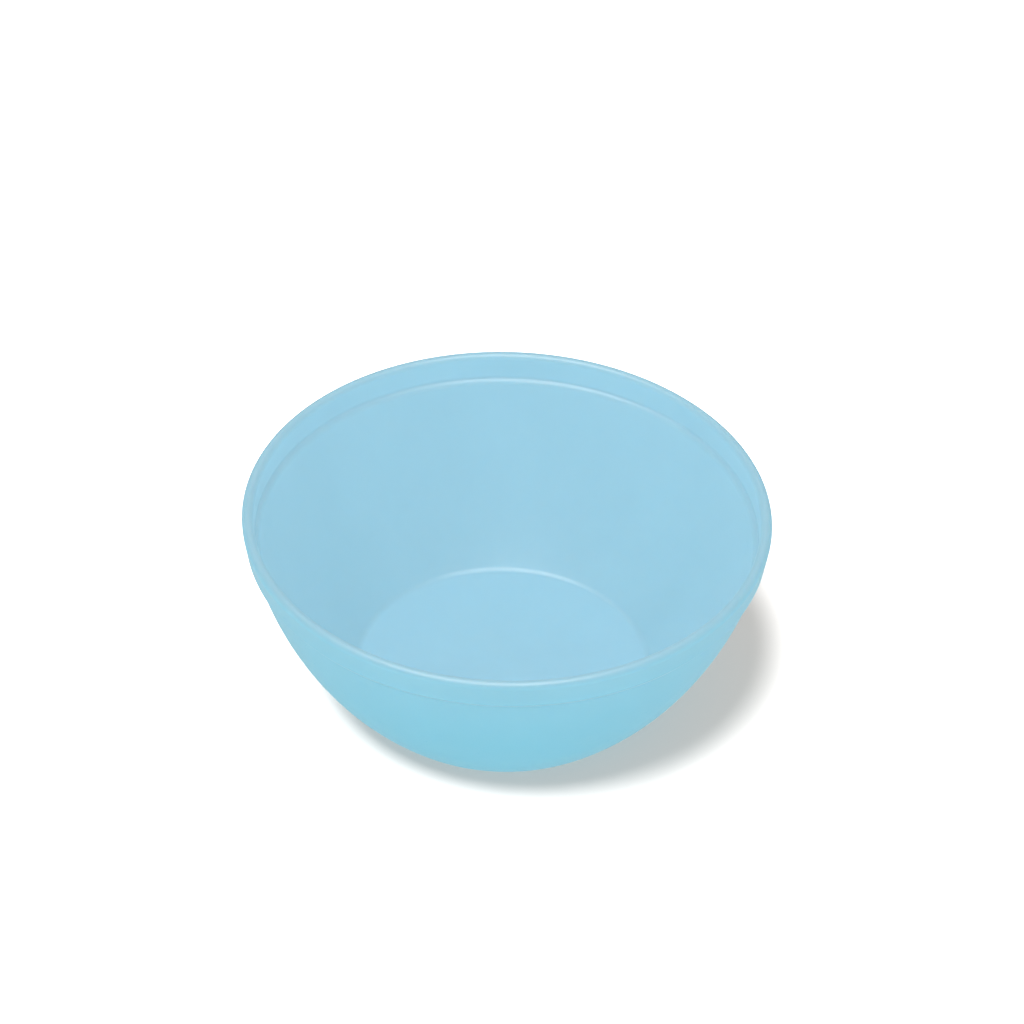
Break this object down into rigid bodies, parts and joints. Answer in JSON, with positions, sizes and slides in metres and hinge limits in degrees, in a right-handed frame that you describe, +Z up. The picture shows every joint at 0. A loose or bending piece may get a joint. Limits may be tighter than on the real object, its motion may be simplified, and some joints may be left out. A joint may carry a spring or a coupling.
{
  "type": "round solution bowl",
  "caption": "Round one-piece plastic hospital bowl with a rounded lip, a shallow collar with an inner ledge, a curved wall and a flat floor on a low foot ring.",
  "frame": {"origin": "centre of the foot ring, on the surface the bowl stands on", "axes": "+Z up along the bowl's axis of revolution; the bowl is the same all round, so +X and +Y are any two level directions"},
  "size_m": [0.1498, 0.1498, 0.0595],
  "materials": {
    "bowl": "pale sky-blue polypropylene, satin, smooth moulded surface"
  },
  "bodies": {
    "root": {"bowl": "bowl"}
  },
  "joints": []
}
